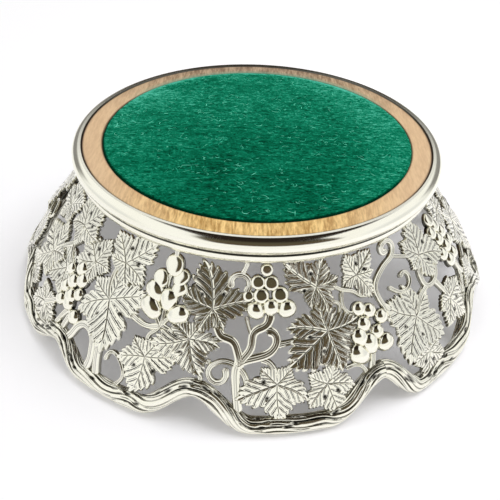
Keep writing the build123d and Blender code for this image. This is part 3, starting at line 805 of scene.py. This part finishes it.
tendril, twig, cane = 1.3, 1.8, 2.5
panels = [
    dict(leaves=[
        (-46, 31, five(142, 10.0)), (-58, 35.5, five(60, 11)), (-64, 23, five(160, 12.5), 0.5),
        (-57, 11, five(-95, 11)), (-70, 13, five(-70, 10), 0.4), (-72, 34, five(110, 11)),
        (-55, 24, five(-140, 10)),
    ], grapes=[
        (-53, 25.1, 1.7), (-49, 27.3, 2.0), (-49.9, 23.1, 2.0), (-46.9, 25, 2.0), (-51.9, 20.5, 1.8),
        (-48.4, 19.5, 2.1), (-46, 21.4, 1.7), (-48, 17.5, 2.0), (-51.5, 16.6, 1.8), (-44.6, 15.5, 2.0),
    ], stems=[
        (tendril, (-46, 31), (-47.2, 28), (-48, 25)),
        (tendril, (-53, 26), (-56.4, 28), (-57.6, 31), (-58, 35)),
        (twig, (-47.4, 8.6), (-46.8, 12.2), (-46.1, 15.1)),
        (twig, (-49.9, 9.7), (-48.1, 14.6), (-46.7, 16.9)),
        (twig, (-51.5, 16.6), (-54, 14), (-57, 11)),
        (twig, (-57.6, 30), (-61, 27), (-64, 22), (-67, 17), (-69.4, 13)),
    ]),
    dict(leaves=[
        (-36.4, 25.5, [(-152, 12), (-67, 15.5), (30, 13.4), (82, 9), (165, 8.5)], 0.1),
        (-35.8, 35.3, [(-70, 7), (-11, 9), (46, 12.4), (127, 10), (190, 6)], 0.4),
        (-22.7, 16.3, [(-168, 9.1), (-89, 11.6), (12, 10.8), (62, 7), (140, 6.5)], 0.5),
        (-13.4, 23.5, [(-154, 11.4), (-75, 10.6), (5, 8.5), (62, 6), (141, 7.1)], 0.3),
    ], grapes=[
        (-21.3, 40.3, 2.3, 0.5, -70), (-24.3, 35.9, 2.0, 0.5, -60), (-18.5, 37.4, 1.9, 0.5, -110),
        (-18.4, 34.4, 1.9, 0.4, -120), (-25.1, 32.6, 2.4, 0.6, -50), (-20.6, 31.7, 2.4, 0.5, -90),
        (-25.1, 28.7, 2.5, 0.7, -40), (-16.8, 28.7, 2.3, 0.7, -150),
    ], stems=[
        (tendril, (-21.2, 39), (-22, 35), (-21, 31), (-20.9, 27.3), (-20.7, 25.7), (-21.8, 23.1),
         (-23.3, 21.8), (-22.8, 17)),
        (tendril, (-24.6, 28), (-22.1, 25.8), (-21.1, 24.3)),
        (tendril, (-17.2, 28.4), (-19.8, 26.6), (-20.8, 25)),
        (tendril, (-36.7, 25.9), (-38, 28.5), (-38.3, 32.4), (-36.9, 34.6)),
        (twig, (-21.2, 24.4), (-24.6, 23.6), (-28.6, 24.6)),
        (tendril, (-20.9, 25), (-17, 24.2), (-13.4, 23.5)),
        (cane, (-45.2, 8), (-43.4, 11.4), (-42.6, 14), (-41, 16), (-38.8, 16), (-37, 14.2), (-36.4, 11),
         (-36.2, 8), (-36.8, 5)),
        (cane, (-36, 17), (-34.9, 14.4), (-34.5, 10), (-33.8, 5)),
        (tendril, (-32.2, 10.6), (-31.8, 13), (-30.6, 14), (-28.8, 12.9), (-27.2, 10.4), (-27, 8),
         (-28.6, 5)),
        (tendril, (-21.3, 40.3), (-21, 44.4)),
    ]),
    dict(leaves=[
        (-9.1, 31.2, [(-50, 6.5), (24, 11.1), (97, 13.9), (169, 10.2), (238, 7.5)], 0.2),
        (17.5, 36.3, [(-60, 8), (5, 7), (73, 8.4), (142, 11.4), (239, 6.3)], 0.1),
        (18.7, 25.8, [(-76, 11.7), (3, 9.5), (104, 9.6), (159, 11.6), (213, 15.2)], 0.5),
        (6.4, 14.3, [(-162, 12), (-91, 10.9), (-18, 10), (42, 6.5), (135, 6.5)], 0.3),
        (17.2, 13, five(-73, 9.7), 0.2),
    ], grapes=[
        (4.2, 42.0, 1.5), (1.9, 38.6, 1.75), (5.4, 38.4, 1.85), (2.8, 35.3, 1.95), (7.7, 35.5, 2.05),
        (-0.4, 35.1, 1.4), (1.4, 31.9, 2.1, 0.2, -45), (5.3, 32.6, 2.1), (9.4, 32.2, 2.2, 0.2, -135),
    ], stems=[
        (cane, (-1.7, 18.4), (-1.7, 20.2), (-2.4, 22.3), (-3, 24.1), (-4.4, 24.9), (-6.4, 25.4),
         (-7.6, 27.8), (-9, 30.5)),
        (twig, (-5.4, 25), (-7, 24.6), (-8.8, 24.3), (-12, 23.6)),
        (cane, (-2, 18.2), (-1.3, 20.2), (0.1, 22), (0.9, 24.1), (0.8, 25.9), (1.7, 27.3), (3.6, 28),
         (4.8, 29.2), (5, 31)),
        (tendril, (0.8, 26), (-0.2, 28.4), (-0.7, 30.4)),
        (cane, (-2.6, 18.6), (-1, 20), (1.6, 20.8), (4.5, 21.8), (6.1, 23.4), (6.6, 25.3), (5.7, 26.9),
         (4.1, 27.1)),
        (twig, (6.6, 23.9), (9.6, 24.4), (13.2, 25.2), (18.7, 25.8)),
        (twig, (2.8, 20.6), (4.5, 20.1), (5.8, 18.4), (6.4, 15.3)),
        (twig, (-5, 36.6), (-5.2, 39), (-3.2, 40.4), (-1.1, 39.8), (-0.2, 38), (-1.2, 35.6)),
        (tendril, (-2.4, 40.4), (-1.6, 42), (-1, 44)),
        (cane, (-1.6, 20), (-2.4, 17.6), (-2.1, 12.5), (-1.5, 6.6)),
        (twig, (0.3, 13.5), (0.1, 14.5), (-0.6, 16.8), (-2.2, 18.7), (-4.7, 19.6), (-6.8, 19),
         (-8.4, 16.8), (-7.4, 14.4), (-5.6, 14), (-4.3, 15.8), (-4.8, 18)),
        (tendril, (-9.6, 14), (-10.4, 17.4), (-8, 19.4)),
        (twig, (18.2, 14), (18.6, 18), (18.4, 22)),
    ]),
    dict(leaves=[
        (29.4, 37.0, [(-54, 8.2), (-6, 6), (40, 8.6), (118, 7), (190, 5.5)], 0.2),
        (43.6, 21, [(35, 9), (84, 10.5), (151, 12.8), (226, 14.3), (307, 13.3)], 0.2),
        (53.4, 33.4, [(-75, 9), (-16, 12.4), (69, 11.5), (137, 8.7), (200, 6)], 0.3),
        (44.5, 10, five(-108, 8.6), 0.4), (58, 17.6, five(-60, 10.5), 0.3),
    ], grapes=[
        (27.8, 29, 1.9), (30.5, 27.9, 1.9), (33.4, 25.5, 1.9), (28.1, 25.2, 2.0), (31.2, 22.4, 1.9),
        (26.2, 22.8, 2.2, 0.4, -60), (33.0, 19.2, 2.2, 0.3, -150), (28.6, 20.6, 2.3, 0.5, -80),
        (25.0, 18.8, 2.4, 0.7, -40),
    ], stems=[
        (twig, (30.4, 24), (29, 18.2), (28.5, 15.5), (27.2, 11.4)),
        (tendril, (21.7, 15.8), (24.2, 16.2), (26.2, 14.6), (26.7, 12)),
        (tendril, (17.5, 36.3), (21.7, 35.9), (24.3, 34.4), (27.4, 33.4), (29.9, 31.5), (33.6, 31.9)),
        (tendril, (19.3, 32), (22.8, 31.8), (22.6, 29.5), (20.8, 27.7)),
        (tendril, (24.2, 34), (23.6, 30.6), (25.4, 28.4), (27.4, 28.6)),
        (twig, (36, 23), (35.7, 25.7), (34.5, 29.1), (34, 32.1), (35.6, 34.3), (39.2, 36.6),
         (42.6, 37.8), (44.2, 40.4), (42, 43), (39.4, 42), (39.8, 39.6), (41.4, 40.2)),
        (tendril, (42.4, 38), (46, 36.4), (50.6, 34.4)),
        (tendril, (38.4, 31), (41.4, 28.6), (44.6, 28.4), (46.6, 30.4), (45.4, 32.6), (43.2, 31.8)),
        (twig, (53.3, 33), (50.7, 29.8), (51, 25.7), (55, 25.2), (57.8, 27.2), (58.1, 29.8), (55.6, 33)),
        (twig, (51, 25.7), (47.4, 24.7), (44.4, 21.6)),
        (twig, (55, 25.2), (57, 21), (58, 17.6)),
        (twig, (44, 18), (45, 13), (44.6, 9)),
    ]),
    dict(leaves=[
        (66, 13, five(-80, 10)), (84, 26, five(-100, 14), 0.3), (90, 35.4, five(60, 11), 0.5),
        (76, 35.4, five(120, 10.5), 0.1), (95, 16, five(-50, 12), 0.2), (74, 15, five(-110, 9), 0.5),
    ], grapes=[
        (66.1, 37.6, 1.9), (64.2, 34.4, 1.9), (68.2, 34.6, 1.9), (70.4, 31.4, 2.0), (66.4, 31.2, 2.0),
        (68.4, 27.8, 2.1), (64.4, 27.6, 2.0), (66.6, 24.4, 2.1), (72, 27.6, 1.9), (70.4, 24.2, 2.0),
    ], stems=[
        (cane, (68.4, 25), (69.4, 19), (73, 15), (77, 11), (80, 4)),
        (twig, (69.2, 20), (67.4, 17), (66.2, 13)),
        (twig, (72.4, 16), (78, 20), (83, 25)),
        (tendril, (76.4, 35), (80, 31), (83.6, 27)),
        (tendril, (84.4, 27), (87, 31), (89.6, 35)),
        (twig, (85, 26), (91, 23), (95, 17)),
        (tendril, (91, 23), (96.6, 27), (100.4, 24), (97, 21)),
        (tendril, (70.6, 31.6), (73, 34), (75.6, 35)),
        (twig, (78, 11.4), (86, 14), (94, 15)),
    ]),
]
rim_lobes = [(-60, 3), (-30, 7.5), (9, 7.5), (47.5, 8), (88, 4)]
rim_hollows = [(-47.5, 5.4), (-11, 8.9), (30.5, 9.6), (71, 8), (104, 8)]
half_turns = (-180, 0, 180, 360)
lobes_round = [(middle + turn, flat) for turn in half_turns for middle, flat in rim_lobes]
lobe_edges = np.array([(middle - flat, middle + flat) for middle, flat in lobes_round])
hollows = np.array([azimuth + turn for turn in half_turns for azimuth, _ in rim_hollows])
rises = np.array([rise for _ in half_turns for _, rise in rim_hollows])
first_lobe = 5


def turned(made, angle):
    """A skin turned round the upright axis by an angle in degrees."""
    points, quads, tris, values = made
    c, s = np.cos(np.radians(angle)), np.sin(np.radians(angle))
    return points @ np.array([[c, s, 0], [-s, c, 0], [0, 0, 1]]), quads, tris, values


for number, panel in enumerate(panels):
    cast = [leaf(*row) for row in panel["leaves"]]
    cast += [grape(*row) for row in panel["grapes"]]
    cast += [stem(*row) for row in panel["stems"]]
    cast += [band(hollows[number + first_lobe - 1], hollows[number + first_lobe])]
    for turn, node in ((0, number + 1), (180, number + 6)):
        skins = [turned(one, turn) for one in cast]
        piece(f"vine_panel_{node}", skins, silver, f"gallery_panel_{node}")

# Rim: a vine branch cast in lengths that butt at the hollows, soldered along the foot of the side. Its bark
# lies in long ridges with dark lines between, and is scarred where twigs were cut.

branch_radius = 2.7
branch_foot = 2.5
bark_room, valley_depth, line_depth, scar_depth = 0.22, 0.62, 0.25, 0.3
table_clearance = 0.02


def branch_height(azimuth, number):
    """Height of the middle of the branch: low along the lobe, a half wave up to each hollow."""
    left, right = lobe_edges[number]
    climb_right = np.clip((azimuth - right) / (hollows[number] - right), 0, 1)
    climb_left = np.clip((left - azimuth) / (left - hollows[number - 1]), 0, 1)
    up_right = rises[number] * (1 - np.cos(np.pi * climb_right)) / 2
    up_left = rises[number - 1] * (1 - np.cos(np.pi * climb_left)) / 2
    return branch_foot + up_right + up_left


def branch(number, samples=150, sides=108):
    """A length of the branch: a round section carried along the wavy foot of the wall. Its radius falls in
    deep valleys between ten strands that wind slowly round it and in fine lines on each strand, and dark
    oval scars lie where twigs were cut."""
    azimuth = np.linspace(hollows[number - 1], hollows[number], samples)
    height = branch_height(azimuth, number)
    slant = slant_of(height)
    middle = on_wall(np.radians(azimuth), slant, 0 * slant)
    normal = on_wall(np.radians(azimuth), slant, 1 + 0 * slant) - middle
    upward = np.cross(normal, unit(np.gradient(middle, axis=0)))
    corner = np.linspace(0, 2 * np.pi, sides, endpoint=False)[None, :]
    far = np.radians(azimuth)[:, None] * 80
    wind = 0.045 * far + 0.35 * np.sin(far * 0.23 + number) + 0.22 * np.sin(far * 0.41 + 2 * number)
    strand = np.abs(np.sin(5 * (corner + wind) + 0.5 * np.sin(corner + far * 0.12)))
    fold = 0.5 + 0.5 * np.sin(far * 0.31 + 3 * corner)
    valley = np.clip(1 - strand / 0.62, 0, 1) * (0.42 + 0.58 * fold)
    grain_line = np.abs(np.sin(7 * (corner + 1.3 * wind)))
    in_patches = np.clip(2 * np.sin(far * 0.55 + 5 * corner + number) - 0.6, 0, 1)
    line = np.clip(1.2 - grain_line / 0.4, 0, 1) * in_patches
    pick = np.random.default_rng(number)
    scar_stretches = ((0.02, 0.14, 6), (0.15, 0.85, 10), (0.86, 0.98, 6))
    scar_share = np.concatenate([pick.uniform(*stretch) for stretch in scar_stretches])
    scar_far = far[0, 0] + (far[-1, 0] - far[0, 0]) * scar_share
    scar_turn = np.radians(pick.uniform(-20, 110, len(scar_share)))
    scar_along, scar_round = far[..., None] - scar_far, (corner[..., None] - scar_turn) * branch_radius
    scar = np.exp(-(np.hypot(scar_along / 0.95, scar_round / 0.5) ** 4)).max(-1)
    size = branch_radius - bark_room - valley_depth * valley - line_depth * line - scar_depth * scar
    size = size - 0.1 * np.sin(2 * corner + far * 0.2) ** 2
    spokes = np.cos(corner)[..., None] * normal[:, None] + 1.2 * np.sin(corner)[..., None] * upward[:, None]
    rings = middle[:, None] + 0.35 * upward[:, None] + size[..., None] * spokes
    rings[..., 2] = np.maximum(rings[..., 2], table_clearance)
    sunk = np.max([np.clip(1.9 * valley - 0.25, 0, 1), 0.95 * line, 0.95 * scar], axis=0)
    return shell(rings, [middle[0], middle[-1]], unchased(sunk), unchased([0.3, 0.3]))


for number in range(len(panels)):
    length = branch(number + first_lobe)
    for turn, node in ((0, number + 1), (180, number + 6)):
        skin = turned(length, turn)
        piece(f"vine_branch_{node}", [skin], silver, f"vine_rim_{node}", crease=70)
